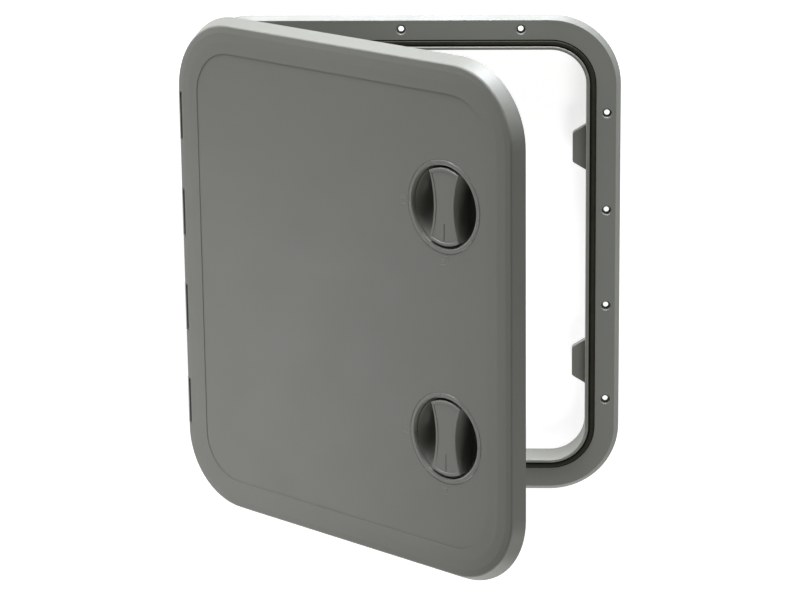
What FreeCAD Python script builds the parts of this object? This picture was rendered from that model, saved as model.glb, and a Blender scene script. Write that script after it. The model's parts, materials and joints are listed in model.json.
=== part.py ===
"""Deck access hatch: hinged lid with two recessed twist latches on a sealed frame.

Millimetres, +Z out of the deck. The origin is the centre of the frame on the deck plane.
+X points to the free edge of the lid, -X to the hinge, +Y along the hinge line.
The lid is drawn closed and then swung open by lid_open_angle about the hinge axis.
"""
import FreeCAD, Part
import math
import os

# frame
frame_width = 436.0
frame_length = 496.0
frame_corner = 70.0
flange_thickness = 6.0
flange_slope = 4.8
flange_round = 0.9
groove_inset = 24.3
collar_inset = 31.0
opening_inset = 34.3
groove_floor = 2.5
lip_top = 9.0
lip_outer_round = 0.8
lip_inner_round = 1.7
collar_bottom = -26.5

# rubber cord in the frame groove
gasket_side_gap = 0.1
gasket_shoulder = 5.4
gasket_top = 7.3
bead_inset = 1.2
bead_overlap = 0.4

# deck screws: one pattern on the long sides, one on the short sides
screw_inset = 13.85
screw_pitch_long = 99.5
screw_pitch_short = 118.5
screw_hole_radius = 2.7
screw_recess_radius = 4.9
screw_recess_foot = 4.3
screw_recess_depth = 2.8
screw_seat_depth = 4.2
screw_recess_round = 0.3

# lid
lid_overhang = 7.0
skirt_bottom = 3.0
skirt_flare = 6.7
lid_edge_z = 15.5
lid_crown_z = 17.0
crown_sections = ((13.5, 16.35), (23.0, 16.85))
panel_inset = 34.0
panel_corner = 45.0
panel_z = 16.5
skirt_wall = 3.0
lid_underside = 13.4
lid_edge_round = 2.6
hollow_flare = 5.7
seal_rib_width = 2.4
seal_rib_bottom = 7.7
lid_open_angle = 40.0

# stiffening liner under the lid
liner_gap = 4.2
liner_corner = 34.0
liner_plate = 1.8
liner_bottom = 4.2
liner_rim = 2.6
liner_rib_bottom = 4.6
liner_rib_half = 1.1
liner_rib_pitch = 70.0
liner_rib_rows = (-110.0, -35.0, 40.0)
liner_latch_hole = 47.8

# hinge
hinge_x = -217.5
hinge_z = 9.5
hinge_pitch = 99.5
knuckle_radius = 4.9
slot_outer = -221.0
slot_inner = -218.7
slot_end = 1.2
slot_floor = 12.2
knuckle_length = 49.2
web_bottom = 0.4
web_draft = 3.0
notch_length = 50.0
notch_inner_x = -213.9
lug_length = 12.0
pin_radius = 2.0
pin_running_clearance = 0.06
pin_end_gap = 1.0
pin_chamfer = 0.4
relief_radius = 7.0
skirt_swing_radius = 6.5

# latches: cup that is fixed in the lid
latch_x = 136.6
latch_y = 113.0
mouth_radius = 39.8
bezel_radius = 44.8
bezel_thickness = 1.0
bezel_crown = 0.3
bezel_edge = 0.6
mouth_round = 1.2
mouth_roll = 0.3
cup_wall = 2.3
cup_cone_wall = 0.6
cup_foot_radius = 32.0
cup_cone_top = 6.5
cup_cone_bottom = -3.4
cup_floor_top = -8.4
cup_floor_bottom = -10.4
cup_rib_depth = 0.9
cup_rib_half = 1.0
cup_rib_end = 31.0
boss_radius = 11.5
boss_bottom = -11.8
cup_hole_gap = 0.2
bezel_hole_gap = 0.15
seal_thickness = 0.6
seal_side_gap = 0.3
nut_radius = 45.8
nut_height = 3.2
nut_bore_gap = 0.05
nut_slot_root = 44.4
nut_slot_half = 2.5

# latches: knob that turns in the cup
knob_radius = 39.2
knob_foot_radius = 29.2
knob_cone_top = 6.4
knob_cone_bottom = -3.6
knob_bottom = -7.4
knob_proud = 0.2
shaft_radius = 7.0
shaft_running_clearance = 0.06
rim_z = 13.0
bowl_floor = -5.4
bowl_rim_lean = 0.15
bowl_profile = ((38.8, 13.0), (37.3, 7.2), (31.2, 0.3), (25.0, -4.2), (19.0, -5.4))
grip_end_radius = 37.2
grip_end_half = 18.2
grip_waist_half = 12.6
grip_draft = 0.6
grip_bevel_width = 0.6
grip_bevel_height = 0.5
grip_rim_width = 2.7
grip_face_depth = 0.5
pointer_near = 16.0
pointer_far = 33.0
pointer_half = 0.4
pointer_depth = 1.0
drive_half = 4.5
drive_gap = 0.03
drive_recess = 0.2
shaft_proud = 0.2
screw_bore_radius = 1.7
screw_bore_top = -8.2
ring_groove_radius = 8.8
ring_groove_half = 0.9
ring_z = -10.1
ring_radius = 7.92
ring_section = 0.8
thrust_washer_radius = 14.0
thrust_washer_bore = 7.3
thrust_washer_top = -7.75

# latches: cam under the lid and its screw
cam_top = -12.25
tongue_top = -12.6
cam_bottom = -16.6
cam_hub_radius = 10.5
cam_half = 7.5
cam_reach = 43.0
cam_ramp = 0.8
cam_washer_radius = 7.2
cam_washer_bore = 2.1
cam_washer_thickness = 1.0
cam_screw_radius = 1.65
cam_screw_end = -9.2
screw_head_radius = 4.0
screw_head_height = 2.6
screw_head_round = 1.2
cross_long = 2.2
cross_half = 0.45
cross_depth = 1.2

# catches on the frame
catch_y = 112.0
catch_top = -4.2
catch_bottom = -12.2
catch_reach = 13.5
catch_root_length = 46.6
catch_tip_length = 30.0
catch_corner = 3.5
catch_round = 0.8

# how far cutting shapes run past a face, and how far joined shapes run into each other
over = 1.0
overlap = 0.2

half_width = frame_width / 2.0
half_length = frame_length / 2.0
lid_width = frame_width + 2.0 * lid_overhang
lid_length = frame_length + 2.0 * lid_overhang
lid_corner = frame_corner + lid_overhang
opening_x = half_width - opening_inset
opening_y = half_length - opening_inset
cup_radius = mouth_radius + cup_wall
bezel_top = panel_z + bezel_crown
bezel_bottom = panel_z - bezel_thickness
knob_top = panel_z + knob_proud
knuckle_centres = [hinge_pitch * k for k in (-1.5, -0.5, 0.5, 1.5)]
centre = FreeCAD.Vector(0, 0, 0)
up = FreeCAD.Vector(0, 0, 1)


def vec(x, y, z):
    return FreeCAD.Vector(x, y, z)


def box(x0, x1, y0, y1, z0, z1):
    return Part.makeBox(x1 - x0, y1 - y0, z1 - z0, vec(x0, y0, z0))


def cylinder(radius, z0, z1, x=0.0, y=0.0):
    return Part.makeCylinder(radius, z1 - z0, vec(x, y, z0))


def tube(outer, inner, z0, z1):
    return cylinder(outer, z0, z1).cut(cylinder(inner, z0 - over, z1 + over))


def hinge_rod(radius, y0, y1):
    """Cylinder about the hinge axis."""
    return Part.makeCylinder(radius, y1 - y0, vec(hinge_x, y0, hinge_z), vec(0, 1, 0))


def rounded_outline(half_x, half_y, radius, z):
    """Closed wire of a rounded rectangle centred on the origin."""
    ax = half_x - radius
    ay = half_y - radius
    arcs = []
    for k, (cx, cy) in enumerate(((ax, ay), (-ax, ay), (-ax, -ay), (ax, -ay))):
        points = []
        for step in (0, 1, 2):
            angle = math.radians(90 * k + 45 * step)
            points.append(vec(cx + radius * math.cos(angle), cy + radius * math.sin(angle), z))
        arcs.append(Part.Arc(points[0], points[1], points[2]).toShape())
    wire = []
    for k in range(4):
        wire.append(arcs[k])
        tail = arcs[k].Vertexes[-1].Point
        head = arcs[(k + 1) % 4].Vertexes[0].Point
        wire.append(Part.makeLine(tail, head))
    return Part.Wire(wire)


def frame_outline(inset, z):
    """Outline at a distance inside the edge of the frame, with concentric corners."""
    return rounded_outline(half_width - inset, half_length - inset, frame_corner - inset, z)


def lid_outline(inset, z):
    """Outline at a distance inside the edge of the lid, with concentric corners."""
    return rounded_outline(lid_width / 2 - inset, lid_length / 2 - inset, lid_corner - inset, z)


def polygon(corners):
    return Part.Face(Part.makePolygon(corners + [corners[0]]))


def prism(wire, height):
    return Part.Face(wire).extrude(vec(0, 0, height))


def frame_prism(inset, z0, z1):
    return prism(frame_outline(inset, z0), z1 - z0)


def frame_band(outer_inset, inner_inset, z0, z1):
    """Ring that follows the frame between two insets."""
    inside = frame_prism(inner_inset, z0 - over, z1 + over)
    return frame_prism(outer_inset, z0, z1).cut(inside)


def taper(wires):
    return Part.makeLoft(wires, True, True)


def revolved(points):
    """Solid of revolution about Z from (radius, z) points."""
    return polygon([vec(r, 0, z) for r, z in points]).revolve(centre, up, 360)


def edges_at(shape, z, tolerance=0.01):
    """Edges that lie in one horizontal plane."""
    found = []
    for edge in shape.Edges:
        bounds = edge.BoundBox
        if abs(bounds.ZMin - z) < tolerance and abs(bounds.ZMax - z) < tolerance:
            found.append(edge)
    return found


def loop_edges(shape, inset, z, tolerance=0.01):
    """Edges of the frame outline at an inset, in one horizontal plane."""
    found = []
    for edge in edges_at(shape, z):
        on_sides = [abs(abs(v.X) - half_width + inset) < tolerance for v in edge.Vertexes]
        on_ends = [abs(abs(v.Y) - half_length + inset) < tolerance for v in edge.Vertexes]
        if all(a or b for a, b in zip(on_sides, on_ends)):
            found.append(edge)
    return found


def opened(shape):
    """Swing a closed-lid shape to the modelled opening angle."""
    moved = shape.copy()
    moved.rotate(vec(hinge_x, 0, hinge_z), vec(0, -1, 0), lid_open_angle)
    return moved


def screw_places():
    places = []
    edge_x = half_width - screw_inset
    edge_y = half_length - screw_inset
    for k in (-1.5, -0.5, 0.5, 1.5):
        places.append((edge_x, k * screw_pitch_long))
        places.append((-edge_x, k * screw_pitch_long))
    for k in (-1, 0, 1):
        places.append((k * screw_pitch_short, edge_y))
        places.append((k * screw_pitch_short, -edge_y))
    return places


def screw_hole(x, y):
    """Through hole with a deep recess for the screw head and a tapered seat."""
    top = flange_thickness
    profile = [
        (0, -over),
        (screw_hole_radius, -over),
        (screw_hole_radius, top - screw_seat_depth),
        (screw_recess_foot, top - screw_recess_depth),
        (screw_recess_radius, top - screw_recess_round),
        (screw_recess_radius + screw_recess_round, top),
        (screw_recess_radius + screw_recess_round, top + over),
        (0, top + over),
    ]
    hole = revolved(profile)
    hole.translate(vec(x, y, 0))
    return hole


def knuckle(y):
    """Hinge barrel with a core slot, on a web that stands on the edge of the flange."""
    y0 = y - knuckle_length / 2
    barrel = hinge_rod(knuckle_radius, y0, y0 + knuckle_length)
    left = hinge_x - knuckle_radius
    right = hinge_x + knuckle_radius
    web = polygon([vec(left, y0, hinge_z), vec(left + web_draft, y0, web_bottom),
                   vec(right, y0, web_bottom), vec(right, y0, hinge_z)])
    body = barrel.fuse(web.extrude(vec(0, knuckle_length, 0)))
    return body.cut(box(slot_outer, slot_inner, y0 + slot_end, y0 + knuckle_length - slot_end,
                        slot_floor, hinge_z + knuckle_radius + over))


def frame():
    """Sloped flange, seal groove, raised lip and collar in one moulding."""
    flange = taper([frame_outline(0, 0), frame_outline(flange_slope, flange_thickness)])
    flange = flange.makeFillet(flange_round, edges_at(flange, flange_thickness))
    body = flange.fuse(frame_prism(collar_inset, collar_bottom, lip_top))
    body = body.cut(frame_band(groove_inset, collar_inset, groove_floor, lip_top))
    body = body.cut(frame_prism(opening_inset, collar_bottom - over, lip_top + over))
    body = body.makeFillet(lip_outer_round, loop_edges(body, collar_inset, lip_top))
    body = body.makeFillet(lip_inner_round, loop_edges(body, opening_inset, lip_top))
    body = body.cut(hinge_rod(relief_radius, -half_length, half_length))
    for x, y in screw_places():
        body = body.cut(screw_hole(x, y))
    for y in knuckle_centres:
        body = body.fuse(knuckle(y))
    bore = hinge_rod(pin_radius + pin_running_clearance, -half_length, half_length)
    return body.cut(bore).removeSplitter()


def frame_gasket():
    """Rubber cord with a raised centre bead, lying in the seal groove."""
    outer = groove_inset + gasket_side_gap
    inner = collar_inset - gasket_side_gap
    base = frame_band(outer, inner, groove_floor, gasket_shoulder)
    bead = frame_band(groove_inset + bead_inset, collar_inset - bead_inset,
                      gasket_shoulder - bead_overlap, gasket_top)
    bead = bead.makeFillet(bead_inset, edges_at(bead, gasket_top))
    return base.fuse(bead).removeSplitter()


def catch(y):
    """Tapered catch on the inner wall of the collar, under the lip."""
    tip_x = opening_x - catch_reach
    root = catch_root_length / 2
    tip = catch_tip_length / 2
    plan = polygon([vec(opening_x, y - root, catch_bottom), vec(tip_x, y - tip, catch_bottom),
                    vec(tip_x, y + tip, catch_bottom), vec(opening_x, y + root, catch_bottom)])
    block = plan.extrude(vec(0, 0, catch_top - catch_bottom))
    upright = []
    for edge in block.Edges:
        bounds = edge.BoundBox
        if bounds.ZLength > over and bounds.XMin < tip_x + over:
            upright.append(edge)
    block = block.makeFillet(catch_corner, upright)
    rim = [edge for edge in edges_at(block, catch_top) if edge.BoundBox.XMin < opening_x - 0.1]
    return block.makeFillet(catch_round, rim)


def lid_solid():
    """Outside of the lid without the inner hollow: flared skirt and slightly crowned border."""
    skirt = taper([lid_outline(0, skirt_bottom), lid_outline(skirt_flare, lid_edge_z)])
    sections = [lid_outline(skirt_flare, lid_edge_z)]
    for inset, z in crown_sections:
        sections.append(lid_outline(inset, z))
    sections.append(lid_outline(panel_inset, lid_crown_z))
    crown = taper(sections)
    body = skirt.fuse(crown).removeSplitter()
    return body.makeFillet(lid_edge_round, edges_at(body, lid_edge_z))


def hinge_lugs():
    """Blocks under the lid, on both sides of each notch, that hold the hinge pins."""
    lugs = []
    for y in knuckle_centres:
        for side in (-1, 1):
            near = y + side * notch_length / 2
            far = near + side * lug_length
            y0 = min(near, far)
            y1 = max(near, far)
            block = box(hinge_x - knuckle_radius, hinge_x + knuckle_radius, y0, y1,
                        hinge_z, lid_underside + over)
            lugs.append(hinge_rod(knuckle_radius, y0, y1).fuse(block))
    return lugs


def skirt_trim():
    """What the skirt loses on the hinge side, so that it clears the deck as the lid swings."""
    trim = box(hinge_x - 20, hinge_x, -lid_length, lid_length, -over, hinge_z)
    return trim.cut(hinge_rod(skirt_swing_radius, -lid_length - over, lid_length + over))


def lid_shell():
    """Moulded lid cap with hinge notches, latch holes, seal rib and hinge lugs."""
    outside = lid_solid()
    top = lid_crown_z + over
    hollow = taper([lid_outline(skirt_wall, skirt_bottom - overlap),
                    lid_outline(skirt_wall + hollow_flare, lid_underside)])
    body = outside.cut(hollow)
    panel = rounded_outline(lid_width / 2 - panel_inset, lid_length / 2 - panel_inset,
                            panel_corner, panel_z)
    body = body.cut(prism(panel, over))
    rib_mid = (groove_inset + collar_inset) / 2
    rib = frame_band(rib_mid - seal_rib_width / 2, rib_mid + seal_rib_width / 2,
                     seal_rib_bottom, lid_underside + overlap)
    body = body.fuse(rib)
    body = body.cut(skirt_trim())
    for lug in hinge_lugs():
        body = body.fuse(lug.common(outside))
    for y in knuckle_centres:
        body = body.cut(box(hinge_x - 20, notch_inner_x, y - notch_length / 2,
                            y + notch_length / 2, -over, top))
    body = body.cut(hinge_rod(pin_radius, -half_length, half_length))
    for y in (-latch_y, latch_y):
        body = body.cut(cylinder(cup_radius + cup_hole_gap, 0, top, latch_x, y))
        recess = cylinder(bezel_radius + bezel_hole_gap, bezel_bottom - seal_thickness, top,
                          latch_x, y)
        body = body.cut(recess)
    return body.removeSplitter()


def lid_liner():
    """Inner stiffening moulding: thin plate, rim and crossed ribs, bonded under the lid."""
    half_x = opening_x - liner_gap
    half_y = opening_y - liner_gap
    plate_z = lid_underside - liner_plate
    drop = plate_z - liner_bottom

    def outline(inset, z):
        return rounded_outline(half_x - inset, half_y - inset, liner_corner - inset, z)

    body = prism(outline(0, plate_z), liner_plate)
    hollow = prism(outline(liner_rim, liner_bottom - over), drop + 2 * over)
    body = body.fuse(prism(outline(0, liner_bottom), drop).cut(hollow))
    space = prism(outline(liner_rim / 2, liner_bottom), drop)
    rib_top = plate_z + liner_rib_half
    for k in (-2, -1, 0, 1, 2):
        y = k * liner_rib_pitch
        rib = box(-half_x, half_x, y - liner_rib_half, y + liner_rib_half,
                  liner_rib_bottom, rib_top)
        body = body.fuse(rib.common(space))
    for x in liner_rib_rows:
        rib = box(x - liner_rib_half, x + liner_rib_half, -half_y, half_y,
                  liner_rib_bottom, rib_top)
        body = body.fuse(rib.common(space))
    for y in (-latch_y, latch_y):
        body = body.cut(cylinder(liner_latch_hole, 0, lid_crown_z, latch_x, y))
    return body.removeSplitter()


def hinge_pin(side):
    """Steel rod through two knuckles and their lugs."""
    reach = notch_length / 2 + lug_length - pin_end_gap
    inner = 0.5 * hinge_pitch - reach
    outer = 1.5 * hinge_pitch + reach
    rod = hinge_rod(pin_radius, min(side * inner, side * outer), max(side * inner, side * outer))
    ends = [edge for edge in rod.Edges if edge.BoundBox.YLength < 0.01]
    return rod.makeChamfer(pin_chamfer, ends)


def latch_cup():
    """Fixed recess cup: bezel, wall that narrows under the lid, ribbed floor and shaft boss."""
    foot_inner = cup_foot_radius - cup_wall
    profile = [
        (0, cup_floor_top),
        (foot_inner, cup_floor_top),
        (foot_inner, cup_cone_bottom - cup_cone_wall),
        (mouth_radius, cup_cone_top - cup_cone_wall),
        (mouth_radius, bezel_top - mouth_round),
        (mouth_radius + mouth_roll * mouth_round, bezel_top - mouth_roll * mouth_round),
        (mouth_radius + mouth_round, bezel_top),
        (bezel_radius - bezel_edge, bezel_top),
        (bezel_radius, bezel_top - bezel_edge),
        (bezel_radius, bezel_bottom),
        (cup_radius, bezel_bottom),
        (cup_radius, cup_cone_top),
        (cup_foot_radius, cup_cone_bottom),
        (cup_foot_radius, cup_floor_bottom),
        (0, cup_floor_bottom),
    ]
    body = revolved(profile)
    body = body.fuse(cylinder(boss_radius, boss_bottom, cup_floor_top))
    for angle in range(0, 360, 60):
        rib = box(boss_radius - over, cup_rib_end, -cup_rib_half, cup_rib_half,
                  cup_floor_bottom - cup_rib_depth, cup_floor_top)
        rib.rotate(centre, up, angle)
        body = body.fuse(rib)
    bore = cylinder(shaft_radius + shaft_running_clearance, boss_bottom - over, cup_floor_top + over)
    ring_groove = cylinder(ring_groove_radius, ring_z - ring_groove_half, ring_z + ring_groove_half)
    return body.cut(bore).cut(ring_groove).removeSplitter()


def latch_nut():
    """Notched ring that clamps the cup from under the lid."""
    ring = tube(nut_radius, cup_radius + nut_bore_gap, lid_underside - nut_height, lid_underside)
    for angle in range(0, 360, 45):
        slot = box(nut_slot_root, nut_radius + over, -nut_slot_half, nut_slot_half,
                   lid_underside - nut_height - over, lid_underside + over)
        slot.rotate(centre, up, angle)
        ring = ring.cut(slot)
    return ring


def latch_seal():
    """Flat rubber ring under the bezel."""
    return tube(bezel_radius - seal_side_gap, cup_radius + seal_side_gap,
                bezel_bottom - seal_thickness, bezel_bottom)


def grip_outline(inset, z):
    """Plan of the grip: concave sides, ends on a circle about the knob axis."""
    reach = grip_end_radius - inset
    end_x = grip_end_half - inset
    waist_x = grip_waist_half - inset
    end_y = math.sqrt(reach ** 2 - end_x ** 2)
    stops = [(end_x, -end_y), (waist_x, 0), (end_x, end_y), (0, reach), (-end_x, end_y),
             (-waist_x, 0), (-end_x, -end_y), (0, -reach), (end_x, -end_y)]
    points = [vec(x, y, z) for x, y in stops]
    arcs = [Part.Arc(points[k], points[k + 1], points[k + 2]).toShape() for k in (0, 2, 4, 6)]
    return Part.Wire(arcs)


def bowl():
    """Smooth bowl, open at the knob's rim."""
    points = [vec(r, 0, z) for r, z in bowl_profile]
    rim = points[0]
    foot = points[-1]
    cover = rim_z + over
    wall = Part.BSplineCurve()
    wall.interpolate(points, InitialTangent=vec(-bowl_rim_lean, 0, -1), FinalTangent=vec(-1, 0, 0))
    outline = [
        wall.toShape(),
        Part.makeLine(foot, vec(0, 0, bowl_floor)),
        Part.makeLine(vec(0, 0, bowl_floor), vec(0, 0, cover)),
        Part.makeLine(vec(0, 0, cover), vec(rim.x, 0, cover)),
        Part.makeLine(vec(rim.x, 0, cover), rim),
    ]
    return Part.Face(Part.Wire(outline)).revolve(centre, up, 360)


def knob():
    """Sunk turning bowl with a rimmed grip across it, shaft, square drive and screw bore."""
    dish = revolved([(0, knob_bottom), (knob_foot_radius, knob_bottom),
                     (knob_foot_radius, knob_cone_bottom), (knob_radius, knob_cone_top),
                     (knob_radius, rim_z), (0, rim_z)])
    dish = dish.cut(bowl())
    grip = taper([grip_outline(-grip_draft, bowl_floor - over / 2),
                  grip_outline(0, knob_top - grip_bevel_height),
                  grip_outline(grip_bevel_width, knob_top)])
    limit = revolved([(0, knob_bottom), (knob_foot_radius, knob_bottom),
                      (knob_foot_radius, knob_cone_bottom), (knob_radius, knob_cone_top),
                      (knob_radius, knob_top), (0, knob_top)])
    body = dish.fuse(grip.common(limit))
    face = taper([grip_outline(grip_rim_width + grip_face_depth, knob_top - grip_face_depth),
                  grip_outline(grip_rim_width, knob_top)])
    body = body.cut(face.fuse(prism(grip_outline(grip_rim_width, knob_top), over)))
    pointer = box(-pointer_half, pointer_half, -pointer_far, -pointer_near,
                  knob_top - pointer_depth, knob_top + over)
    body = body.cut(pointer)
    shaft_end = boss_bottom - shaft_proud
    shaft = cylinder(shaft_radius, shaft_end, bowl_floor)
    drive = box(-drive_half, drive_half, -drive_half, drive_half, cam_bottom + drive_recess,
                shaft_end + overlap)
    body = body.fuse(shaft).fuse(drive)
    bore = cylinder(screw_bore_radius, cam_bottom - over, screw_bore_top)
    return body.cut(bore).removeSplitter()


def shaft_ring():
    """O-ring in the boss groove."""
    return Part.makeTorus(ring_radius, ring_section, vec(0, 0, ring_z), up)


def thrust_washer():
    """Slippery washer between the knob and the cup floor."""
    return tube(thrust_washer_radius, thrust_washer_bore, cup_floor_top, thrust_washer_top)


def cam():
    """Latch tongue on a hub with a square hole; it points to +Y when unlocked."""
    tip_y = cam_reach - cam_half
    blade = box(-cam_half, cam_half, 0, tip_y, cam_bottom, tongue_top)
    blade = blade.fuse(cylinder(cam_half, cam_bottom, tongue_top, 0, tip_y)).removeSplitter()
    ramp_edges = [e for e in edges_at(blade, tongue_top) if e.BoundBox.YMax > tip_y - 0.5]
    blade = blade.makeChamfer(cam_ramp, ramp_edges)
    body = blade.fuse(cylinder(cam_hub_radius, cam_bottom, cam_top)).removeSplitter()
    half = drive_half + drive_gap
    return body.cut(box(-half, half, -half, half, cam_bottom - over, cam_top + over))


def cam_washer():
    return tube(cam_washer_radius, cam_washer_bore, cam_bottom - cam_washer_thickness, cam_bottom)


def cam_screw():
    """Pan head screw with a cross recess, holding the cam on the shaft."""
    seat = cam_bottom - cam_washer_thickness
    face = seat - screw_head_height
    head = cylinder(screw_head_radius, face, seat)
    head = head.makeFillet(screw_head_round, edges_at(head, face))
    screw = head.fuse(cylinder(cam_screw_radius, seat - over, cam_screw_end))
    for half_x, half_y in ((cross_long, cross_half), (cross_half, cross_long)):
        slot = box(-half_x, half_x, -half_y, half_y, face - over, face + cross_depth)
        screw = screw.cut(slot)
    return screw


def place_latch(shape, side):
    """Move a latch piece from its own axis to one of the two latches, then open it with the lid."""
    moved = shape.copy()
    moved.translate(vec(latch_x, side * latch_y, 0))
    return opened(moved)


def save(name, shape):
    if not shape.isValid():
        raise RuntimeError(name + " is not valid")
    shape.exportStep("parts/" + name + ".step")


def build():
    os.makedirs("parts", exist_ok=True)
    save("frame", frame())
    save("frame_gasket", frame_gasket())
    save("lid_shell", opened(lid_shell()))
    save("lid_liner", opened(lid_liner()))
    latch_pieces = {
        "latch_cup": latch_cup,
        "latch_nut": latch_nut,
        "latch_seal": latch_seal,
        "latch_thrust_washer": thrust_washer,
        "latch_shaft_ring": shaft_ring,
        "knob": knob,
        "cam": cam,
        "cam_washer": cam_washer,
        "cam_screw": cam_screw,
    }
    for place, side in (("upper", 1), ("lower", -1)):
        save("catch_" + place, catch(side * catch_y))
        save("hinge_pin_" + place, opened(hinge_pin(side)))
        for name, maker in latch_pieces.items():
            save(name + "_" + place, place_latch(maker(), side))


build()
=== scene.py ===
import bpy
import json
import math
from mathutils import Matrix, Vector


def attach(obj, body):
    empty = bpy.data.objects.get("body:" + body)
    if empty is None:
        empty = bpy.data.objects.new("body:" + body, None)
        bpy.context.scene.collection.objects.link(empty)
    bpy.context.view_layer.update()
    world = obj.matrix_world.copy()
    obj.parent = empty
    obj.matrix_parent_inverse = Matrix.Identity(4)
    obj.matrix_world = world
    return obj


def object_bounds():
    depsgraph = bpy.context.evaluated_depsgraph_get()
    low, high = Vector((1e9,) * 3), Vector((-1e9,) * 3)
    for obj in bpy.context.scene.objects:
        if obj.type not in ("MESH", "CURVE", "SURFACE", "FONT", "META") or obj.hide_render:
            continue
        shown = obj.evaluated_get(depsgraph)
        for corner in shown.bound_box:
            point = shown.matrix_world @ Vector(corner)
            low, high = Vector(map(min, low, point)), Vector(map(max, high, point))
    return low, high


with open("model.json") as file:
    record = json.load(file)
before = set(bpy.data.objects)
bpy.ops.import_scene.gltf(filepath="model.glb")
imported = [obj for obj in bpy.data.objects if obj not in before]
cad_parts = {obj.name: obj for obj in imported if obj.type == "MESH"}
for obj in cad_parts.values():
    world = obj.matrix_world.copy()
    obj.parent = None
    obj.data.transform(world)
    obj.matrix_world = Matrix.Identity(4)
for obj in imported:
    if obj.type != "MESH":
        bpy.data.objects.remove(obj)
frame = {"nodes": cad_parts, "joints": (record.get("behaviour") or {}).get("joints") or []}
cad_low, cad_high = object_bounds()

# Deck hatch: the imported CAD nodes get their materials, and fine moulded marks are added.
nodes = frame["nodes"]
scene = bpy.context.scene
scene.view_settings.view_transform = "Standard"

MM = 0.001
WHITE = (1.0, 1.0, 1.0, 1.0)

# camera: place and clip distances in metres, angles in degrees, lens and sensor in millimetres
CAMERA_LOCATION = (0.14631, 0.82279, 3.02815)
CAMERA_ANGLES = (-16.0234, 2.6585, -0.6696)
CAMERA_LENS = 139.588
CAMERA_SENSOR = 36.0
CAMERA_CLIP_NEAR = 0.05
CAMERA_CLIP_FAR = 60.0

# latches, panel and lock marks on the closed lid, in millimetres
LATCH_X = 136.6
LATCH_Y = 113.0
PANEL_Z = 16.5
MARK_DISTANCE = 51.0
OPEN_MARK_SHIFT = 1.6
MARK_SCALE = 1.25
RIDGE_RADIUS = 0.27
RIDGE_SINK = 0.08
RIDGE_ROUNDNESS = 3

# one lock mark, in millimetres before it is scaled
LOCK_HALF_WIDTH = 2.7
LOCK_HALF_HEIGHT = 2.1
LOCK_CORNER = 0.6
LOCK_Y = -1.5
KEYHOLE_RADIUS = 0.45
KEYHOLE_TURN = 330
SHACKLE_RADIUS = 1.7
SHACKLE_FOOT_Y = 0.6
SHACKLE_ARC_Y = 1.5
SHACKLE_OPEN_SHIFT = 3.3
CORNER_STEPS = 4
ARC_STEPS = 10

# colours, linear; GREY is shared by all the outside plastic
GREY = (0.160, 0.163, 0.141)
BLACK_PLASTIC = (0.03, 0.03, 0.031)
WHITE_PLASTIC = (0.62, 0.62, 0.58)
BLACK_RUBBER = (0.0175, 0.0168, 0.0100)
STEEL = (0.62, 0.61, 0.58)
PAPER_DARK = (0.80, 0.80, 0.80)
PAPER_LIGHT = (0.82, 0.82, 0.82)

# moulded plastic: noise scales, their share in colour and gloss, and bump depths in metres
CLOUD_SCALE = 7.0
SMEAR_SCALE = 26.0
GRAIN_SCALE = 1500.0
CLOUD_IN_COLOUR = 0.75
GRAIN_IN_COLOUR = 0.25
SMEAR_IN_GLOSS = 0.035
SMEAR_BUMP = 0.05
SMEAR_DEPTH = 0.0004
GRAIN_DEPTH = 0.0002

# rubber
DUST_SCALE = 60.0
DUST_IN_GLOSS = 0.08
RUBBER_GRAIN_SCALE = 2200.0
RUBBER_GRAIN_BUMP = 0.25
RUBBER_SPECULAR = 0.22

# stainless steel
LINE_SCALE = 900.0
LINE_STRETCH = (1.0, 0.08, 1.0)
LINE_BUMP = 0.15
LINE_DEPTH = 0.0001
STEEL_CLOUD_SCALE = 40.0

# floor and world
FLOOR_SIZE = 40.0
FLOOR_GLOW = 0.70
PAPER_ROUGHNESS = 0.9
PAPER_SPECULAR = 0.1
AMBIENT = 0.05

# lamps: azimuth and elevation in degrees, distance, width and height in metres, power in watts
COOL = (0.970, 0.985, 1.045)
COLD = (0.930, 0.985, 1.090)
PLAIN = (1.0, 1.0, 1.0)
LAMP_TARGET = (0.0, 0.0, 0.1)
LAMPS = [
    ("top_low", 90, 4, 2.6, 1.6, 0.5, 110.0, COOL),
    ("top_mid", 90, 12, 2.6, 1.6, 0.5, 16.0, COOL),
    ("top_right", 55, 10, 2.6, 1.2, 0.8, 36.0, COLD),
    ("top_left", 125, 8, 2.6, 1.2, 0.8, 34.0, COOL),
    ("hinge_side", 203, 6, 0.84, 0.6, 0.35, 1.4, PLAIN),
    ("bottom", 270, 10, 2.6, 1.2, 0.8, 20.0, PLAIN),
    ("bottom_fill", 296, 40, 2.6, 1.2, 0.8, 25.5, PLAIN),
]


def make_camera():
    data = bpy.data.cameras.new("camera")
    data.sensor_width = CAMERA_SENSOR
    data.lens = CAMERA_LENS
    data.clip_start = CAMERA_CLIP_NEAR
    data.clip_end = CAMERA_CLIP_FAR
    camera = bpy.data.objects.new("camera", data)
    camera.location = CAMERA_LOCATION
    camera.rotation_euler = [math.radians(a) for a in CAMERA_ANGLES]
    scene.collection.objects.link(camera)
    scene.camera = camera


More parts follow.
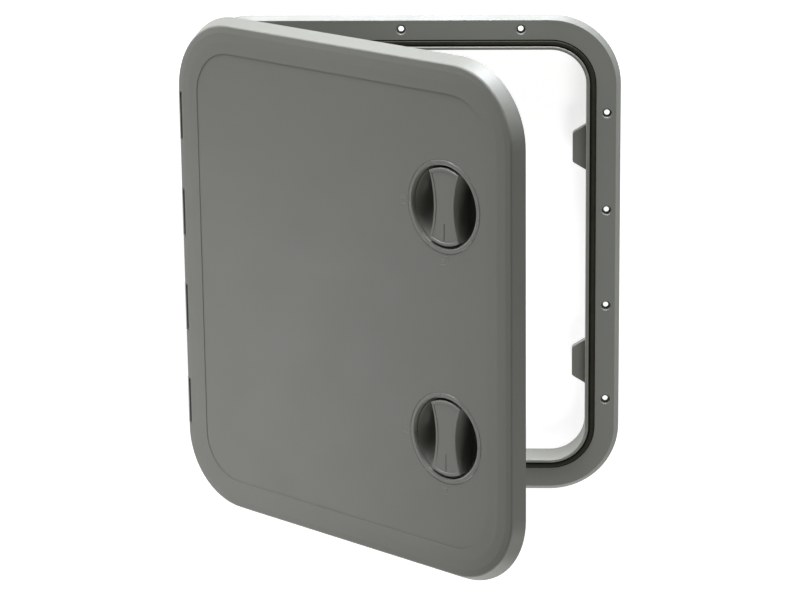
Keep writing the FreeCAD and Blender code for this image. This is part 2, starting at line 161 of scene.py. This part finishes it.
# ---------------------------------------------------------------- materials
class Shading:
    """A material with its node tree, and a short way to add and link nodes."""

    def __init__(self, name, roughness, metallic=0.0):
        self.material = bpy.data.materials.new(name)
        self.material.use_nodes = True
        self.tree = self.material.node_tree
        self.shader = self.tree.nodes["Principled BSDF"]
        self.shader.inputs["Roughness"].default_value = roughness
        self.shader.inputs["Metallic"].default_value = metallic
        self.place = self.add("ShaderNodeTexCoord").outputs["Object"]

    def add(self, kind, **values):
        node = self.tree.nodes.new(kind)
        for key, value in values.items():
            node.inputs[key].default_value = value
        return node

    def link(self, source, target):
        self.tree.links.new(source, target)

    def noise(self, scale, detail, stretch=None):
        """Noise from the object's own coordinates, stretched along an axis if asked."""
        node = self.add("ShaderNodeTexNoise", Scale=scale, Detail=detail)
        place = self.place
        if stretch:
            mapping = self.add("ShaderNodeMapping", Scale=stretch)
            self.link(place, mapping.inputs["Vector"])
            place = mapping.outputs[0]
        self.link(place, node.inputs["Vector"])
        return node.outputs[0]

    def ranged(self, source, low, high, start=0.3, end=0.7):
        """The source's span from start to end, mapped to low to high."""
        node = self.add("ShaderNodeMapRange")
        node.inputs["From Min"].default_value = start
        node.inputs["From Max"].default_value = end
        node.inputs["To Min"].default_value = low
        node.inputs["To Max"].default_value = high
        self.link(source, node.inputs[0])
        return node.outputs[0]

    def colour(self, dark, light, factor):
        node = self.add("ShaderNodeMix")
        node.data_type = "RGBA"
        node.inputs["A"].default_value = (*dark, 1.0)
        node.inputs["B"].default_value = (*light, 1.0)
        self.link(factor, node.inputs["Factor"])
        self.link(node.outputs["Result"], self.shader.inputs["Base Color"])

    def gloss(self, low, high, source):
        self.link(self.ranged(source, low, high), self.shader.inputs["Roughness"])

    def relief(self, heights):
        """Chain of bumps from (height, strength, depth in metres)."""
        normal = None
        for height, strength, depth in heights:
            bump = self.add("ShaderNodeBump", Strength=strength, Distance=depth)
            self.link(height, bump.inputs["Height"])
            if normal is not None:
                self.link(normal, bump.inputs["Normal"])
            normal = bump.outputs[0]
        self.link(normal, self.shader.inputs["Normal"])


def scaled(colour, factor):
    return tuple(c * factor for c in colour)


def moulded(name, colour, roughness, grain=0.10, spread=0.035):
    """Satin moulded plastic: fine spark-eroded grain, faint flow clouds and handling smears."""
    s = Shading(name, roughness)
    clouds = s.noise(CLOUD_SCALE, detail=5.0)
    fine = s.noise(GRAIN_SCALE, detail=3.0)
    smears = s.noise(SMEAR_SCALE, detail=3.0)
    both = s.add("ShaderNodeMath")
    both.operation = "MULTIPLY_ADD"
    both.inputs[1].default_value = GRAIN_IN_COLOUR
    s.link(fine, both.inputs[0])
    s.link(s.ranged(clouds, 0.0, CLOUD_IN_COLOUR), both.inputs[2])
    s.colour(scaled(colour, 1 - spread), scaled(colour, 1 + spread), both.outputs[0])
    s.gloss(roughness - SMEAR_IN_GLOSS, roughness + SMEAR_IN_GLOSS, smears)
    s.relief([(smears, SMEAR_BUMP, SMEAR_DEPTH), (fine, grain, GRAIN_DEPTH)])
    return s.material


def rubbery(name, colour, roughness):
    """Black rubber: matt and slightly dusty, with a fine grain."""
    s = Shading(name, roughness)
    s.shader.inputs["Specular IOR Level"].default_value = RUBBER_SPECULAR
    dust = s.noise(DUST_SCALE, detail=6.0)
    fine = s.noise(RUBBER_GRAIN_SCALE, detail=2.0)
    dusty = s.ranged(dust, 0.0, 1.0, start=0.35, end=0.75)
    s.colour(scaled(colour, 0.8), scaled(colour, 1.5), dusty)
    s.gloss(roughness - DUST_IN_GLOSS, roughness + DUST_IN_GLOSS, dust)
    s.relief([(fine, RUBBER_GRAIN_BUMP, GRAIN_DEPTH)])
    return s.material


def turned_steel(name, colour, roughness):
    """Stainless steel with fine lines along the hinge's direction."""
    s = Shading(name, roughness, metallic=1.0)
    lines = s.noise(LINE_SCALE, detail=3.0, stretch=LINE_STRETCH)
    clouds = s.noise(STEEL_CLOUD_SCALE, detail=3.0)
    s.colour(scaled(colour, 0.85), scaled(colour, 1.1), s.ranged(clouds, 0.0, 1.0))
    s.gloss(roughness - 0.08, roughness + 0.1, lines)
    s.relief([(lines, LINE_BUMP, LINE_DEPTH)])
    return s.material


def paper():
    """Pale studio floor that glows a little, so that its shadows stay light."""
    s = Shading("floor_paper", PAPER_ROUGHNESS)
    s.shader.inputs["Specular IOR Level"].default_value = PAPER_SPECULAR
    s.shader.inputs["Emission Color"].default_value = WHITE
    s.shader.inputs["Emission Strength"].default_value = FLOOR_GLOW
    s.colour(PAPER_DARK, PAPER_LIGHT, s.noise(scale=3.0, detail=4.0))
    return s.material


materials = {
    "frame_plastic": moulded("frame_plastic_satin", scaled(GREY, 1.09), 0.42),
    "lid_plastic": moulded("lid_plastic_satin", GREY, 0.45, grain=0.12),
    "liner_plastic": moulded("liner_plastic_matt", scaled(GREY, 0.85), 0.6, grain=0.2),
    "latch_plastic": moulded("latch_plastic_satin", scaled(GREY, 0.97), 0.27),
    "knob_plastic": moulded("knob_plastic_satin", GREY, 0.42, grain=0.12),
    "cam_plastic": moulded("cam_plastic_black", BLACK_PLASTIC, 0.5, grain=0.3, spread=0.2),
    # the lock marks' colour is 1.5 times the lid grey, a painted highlight on the raised ridges;
    # the low roughness is real gloss
    "mark_plastic": moulded("mark_plastic_painted_highlight", scaled(GREY, 1.5), 0.3),
    "washer_plastic": moulded("washer_plastic_white", WHITE_PLASTIC, 0.35),
    "seal_rubber": rubbery("seal_rubber_black", BLACK_RUBBER, 0.66),
    "stainless": turned_steel("stainless_turned", STEEL, 0.28),
}

# the start of a node's name and its material; the first that fits is used
SLOTS = [
    ("frame_gasket", "seal_rubber"),
    ("frame", "frame_plastic"),
    ("catch", "frame_plastic"),
    ("lid_shell", "lid_plastic"),
    ("lid_liner", "liner_plastic"),
    ("hinge_pin", "stainless"),
    ("latch_cup", "latch_plastic"),
    ("latch_nut", "latch_plastic"),
    ("latch_seal", "seal_rubber"),
    ("latch_shaft_ring", "seal_rubber"),
    ("latch_thrust_washer", "washer_plastic"),
    ("knob", "knob_plastic"),
    ("cam_washer", "stainless"),
    ("cam_screw", "stainless"),
    ("cam", "cam_plastic"),
]


def paint_nodes():
    for name, node in nodes.items():
        slot = next(slot for start, slot in SLOTS if name.startswith(start))
        node.data.materials.clear()
        node.data.materials.append(materials[slot])


# ---------------------------------------------------------------- moulded marks
hinge = next(j for j in frame["joints"] if j["name"] == "lid_hinge")
pivot = Vector(hinge["pos_m"])
swing = Matrix.Rotation(math.radians(-hinge["range_deg"][0]), 4, Vector(hinge["axis"]))
closed_to_rest = Matrix.Translation(pivot) @ swing @ Matrix.Translation(-pivot)


def arc(cx, cy, radius, start, end, steps):
    points = []
    for k in range(steps + 1):
        a = math.radians(start + (end - start) * k / steps)
        points.append((cx + radius * math.cos(a), cy + radius * math.sin(a)))
    return points


def rounded_box(half_x, half_y, radius, cy):
    points = []
    for k, (sx, sy) in enumerate(((1, 1), (-1, 1), (-1, -1), (1, -1))):
        points += arc(sx * (half_x - radius), cy + sy * (half_y - radius), radius,
                      90 * k, 90 * k + 90, CORNER_STEPS)
    return points


def padlock(closed):
    """Lines of a small generic padlock in millimetres: (points, cyclic)."""
    body = rounded_box(LOCK_HALF_WIDTH, LOCK_HALF_HEIGHT, LOCK_CORNER, LOCK_Y)
    keyhole = arc(0, LOCK_Y, KEYHOLE_RADIUS, 0, KEYHOLE_TURN, ARC_STEPS)
    shift = 0.0 if closed else SHACKLE_OPEN_SHIFT
    shackle = [(SHACKLE_RADIUS + shift, SHACKLE_FOOT_Y)]
    shackle += arc(shift, SHACKLE_ARC_Y, SHACKLE_RADIUS, 0, 180, ARC_STEPS)
    shackle.append((shift - SHACKLE_RADIUS, SHACKLE_FOOT_Y))
    return [(body, True), (keyhole, True), (shackle, False)]


def raised_lines(name, lines, centre):
    """Round ridges, a little sunk in the closed lid's panel, carried to the lid's rest place."""
    curve = bpy.data.curves.new(name, "CURVE")
    curve.dimensions = "3D"
    curve.bevel_depth = RIDGE_RADIUS * MM
    curve.bevel_resolution = RIDGE_ROUNDNESS
    curve.use_fill_caps = True
    for points, cyclic in lines:
        spline = curve.splines.new("POLY")
        spline.points.add(len(points) - 1)
        for place, (x, y) in zip(spline.points, points):
            place.co = (x * MARK_SCALE * MM, y * MARK_SCALE * MM, 0.0, 1.0)
        spline.use_cyclic_u = cyclic
    holder = bpy.data.objects.new(name + "_line", curve)
    scene.collection.objects.link(holder)
    bpy.context.view_layer.update()
    graph = bpy.context.evaluated_depsgraph_get()
    mesh = bpy.data.meshes.new_from_object(holder.evaluated_get(graph))
    bpy.data.objects.remove(holder)
    place = Matrix.Translation(Vector((centre[0], centre[1], PANEL_Z - RIDGE_SINK)) * MM)
    mesh.transform(closed_to_rest @ place)
    mesh.materials.clear()
    mesh.materials.append(materials["mark_plastic"])
    for polygon in mesh.polygons:
        polygon.use_smooth = True
    piece = bpy.data.objects.new(name, mesh)
    scene.collection.objects.link(piece)
    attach(piece, "lid")


def make_marks():
    """A closed padlock on the hinge side of each knob and an open one on its -Y side."""
    for place, side in (("upper", 1), ("lower", -1)):
        y = side * LATCH_Y
        closed_centre = (LATCH_X - MARK_DISTANCE, y)
        open_centre = (LATCH_X - OPEN_MARK_SHIFT, y - MARK_DISTANCE)
        raised_lines("mark_closed_" + place, padlock(True), closed_centre)
        raised_lines("mark_open_" + place, padlock(False), open_centre)


# ---------------------------------------------------------------- floor and light
def make_floor():
    bpy.ops.mesh.primitive_plane_add(size=FLOOR_SIZE, location=(0.0, 0.0, cad_low[2]))
    floor = bpy.context.object
    floor.name = "floor"
    floor.data.materials.append(paper())


def make_world():
    """Weak even light from all round, with a backdrop that itself shows white."""
    world = bpy.data.worlds.new("studio")
    world.use_nodes = True
    tree = world.node_tree
    ambient = tree.nodes["Background"]
    ambient.inputs["Strength"].default_value = AMBIENT
    ambient.inputs["Color"].default_value = WHITE
    backdrop = tree.nodes.new("ShaderNodeBackground")
    backdrop.inputs["Color"].default_value = WHITE
    mix = tree.nodes.new("ShaderNodeMixShader")
    path = tree.nodes.new("ShaderNodeLightPath")
    tree.links.new(path.outputs["Is Camera Ray"], mix.inputs["Fac"])
    tree.links.new(ambient.outputs[0], mix.inputs[1])
    tree.links.new(backdrop.outputs[0], mix.inputs[2])
    tree.links.new(mix.outputs[0], tree.nodes["World Output"].inputs["Surface"])
    scene.world = world


def softbox(name, azimuth, elevation, distance, width, height, power, tint):
    """Soft rectangular lamp aimed at the hatch from a direction in degrees."""
    a = math.radians(azimuth)
    e = math.radians(elevation)
    away = Vector((math.cos(a) * math.cos(e), math.sin(a) * math.cos(e), math.sin(e)))
    data = bpy.data.lights.new(name, "AREA")
    data.shape = "RECTANGLE"
    data.size = width
    data.size_y = height
    data.energy = power
    data.color = tint
    lamp = bpy.data.objects.new(name, data)
    lamp.location = Vector(LAMP_TARGET) + away * distance
    lamp.rotation_euler = (-away).to_track_quat("-Z", "Y").to_euler()
    lamp.visible_camera = False
    scene.collection.objects.link(lamp)


make_camera()
paint_nodes()
make_marks()
make_floor()
make_world()
for lamp in LAMPS:
    softbox(*lamp)
